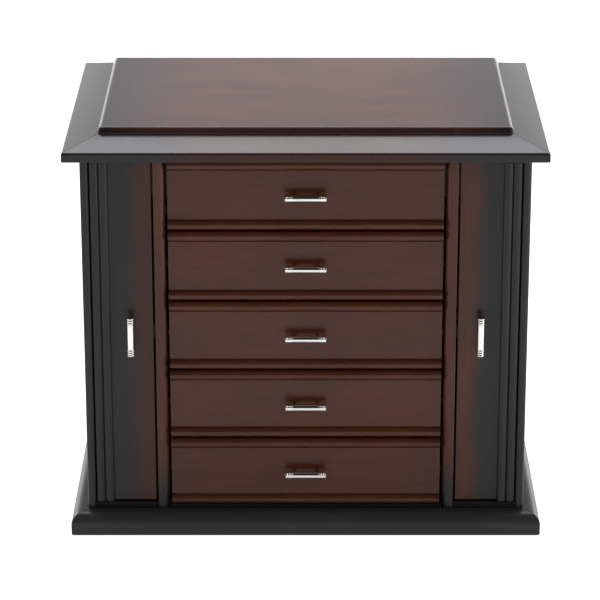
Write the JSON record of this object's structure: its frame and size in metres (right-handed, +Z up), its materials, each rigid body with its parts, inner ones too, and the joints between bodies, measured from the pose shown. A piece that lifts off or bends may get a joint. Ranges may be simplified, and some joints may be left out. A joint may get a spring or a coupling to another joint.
{
  "type": "jewelry armoire",
  "caption": "Dresser-top jewelry chest: beaded drawers between two reeded side doors with necklace hooks, on a moulded plinth, under a hinged lid with a mirror over a ring tray.",
  "frame": {"origin": "centre of the plinth's footprint, on the surface that the chest stands on", "axes": "+X to the right of someone facing the front; +Y from the front to the back; +Z up"},
  "size_m": [0.402, 0.2853, 0.357],
  "materials": {
    "lacquer": "gloss lacquer, mahogany",
    "inner_wood": "satin stain",
    "hardboard": "raw hardboard",
    "velvet": "short velvet pile",
    "felt": "felt",
    "nickel": "polished nickel plate",
    "brass": "polished",
    "steel": "zinc plated",
    "blued_steel": "blued",
    "magnet": "moulded housing",
    "mirror": "silvered glass"
  },
  "bodies": {
    "case": {"felt_base": "felt", "base_panel": "hardboard", "plinth_front": "lacquer", "plinth_sides": "lacquer", "plinth_back": "lacquer", "bottom_board": "inner_wood", "side_panels": "lacquer", "partitions": "inner_wood", "front_stiles": "lacquer", "bottom_rails": "lacquer", "door_heads": "lacquer", "tray_front": "inner_wood", "tray_floor": "inner_wood", "back_panel": "lacquer", "back_rail": "inner_wood", "drawer_runners": "inner_wood", "tray_dividers": "velvet", "tray_lining": "velvet", "ring_rolls": "velvet", "hook_rails": "inner_wood", "necklace_hooks": "brass", "case_hinge_leaves": "brass", "hinge_pins": "steel", "door_magnets": "magnet", "pivot_bushes": "blued_steel"},
    "lid": {"lid_front_member": "lacquer", "lid_back_member": "lacquer", "lid_side_members": "lacquer", "lid_panel": "lacquer", "mirror": "mirror", "mirror_strips": "lacquer", "lid_hinge_leaves": "brass"},
    "left_door": {"left_door": "lacquer", "left_door_pull": "nickel", "left_door_pins": "blued_steel", "left_door_strike": "steel"},
    "right_door": {"right_door": "lacquer", "right_door_pull": "nickel", "right_door_pins": "blued_steel", "right_door_strike": "steel"},
    "drawer_1": {"drawer_1_front": "lacquer", "drawer_1_box": "inner_wood", "drawer_1_pad": "velvet", "drawer_1_pull": "nickel"},
    "drawer_2": {"drawer_2_front": "lacquer", "drawer_2_box": "inner_wood", "drawer_2_pad": "velvet", "drawer_2_pull": "nickel"},
    "drawer_3": {"drawer_3_front": "lacquer", "drawer_3_box": "inner_wood", "drawer_3_pad": "velvet", "drawer_3_pull": "nickel"},
    "drawer_4": {"drawer_4_front": "lacquer", "drawer_4_box": "inner_wood", "drawer_4_pad": "velvet", "drawer_4_pull": "nickel"},
    "drawer_5": {"drawer_5_front": "lacquer", "drawer_5_box": "inner_wood", "drawer_5_pad": "velvet", "drawer_5_pull": "nickel"}
  },
  "joints": [
    {"name": "lid_hinge", "type": "hinge", "parent": "case", "child": "lid", "pos_m": [0, 0.1429, 0.3348], "axis": [-1, 0, 0], "range_deg": [0, 95]},
    {"name": "left_door_hinge", "type": "hinge", "parent": "case", "child": "left_door", "pos_m": [-0.1754, -0.1222, 0.17855], "axis": [0, 0, -1], "range_deg": [0, 100]},
    {"name": "right_door_hinge", "type": "hinge", "parent": "case", "child": "right_door", "pos_m": [0.1754, -0.1222, 0.17855], "axis": [0, 0, 1], "range_deg": [0, 100]},
    {"name": "drawer_1_slide", "type": "slide", "parent": "case", "child": "drawer_1", "axis": [0, -1, 0], "range_m": [0, 0.18]},
    {"name": "drawer_2_slide", "type": "slide", "parent": "case", "child": "drawer_2", "axis": [0, -1, 0], "range_m": [0, 0.18]},
    {"name": "drawer_3_slide", "type": "slide", "parent": "case", "child": "drawer_3", "axis": [0, -1, 0], "range_m": [0, 0.18]},
    {"name": "drawer_4_slide", "type": "slide", "parent": "case", "child": "drawer_4", "axis": [0, -1, 0], "range_m": [0, 0.18]},
    {"name": "drawer_5_slide", "type": "slide", "parent": "case", "child": "drawer_5", "axis": [0, -1, 0], "range_m": [0, 0.18]}
  ]
}
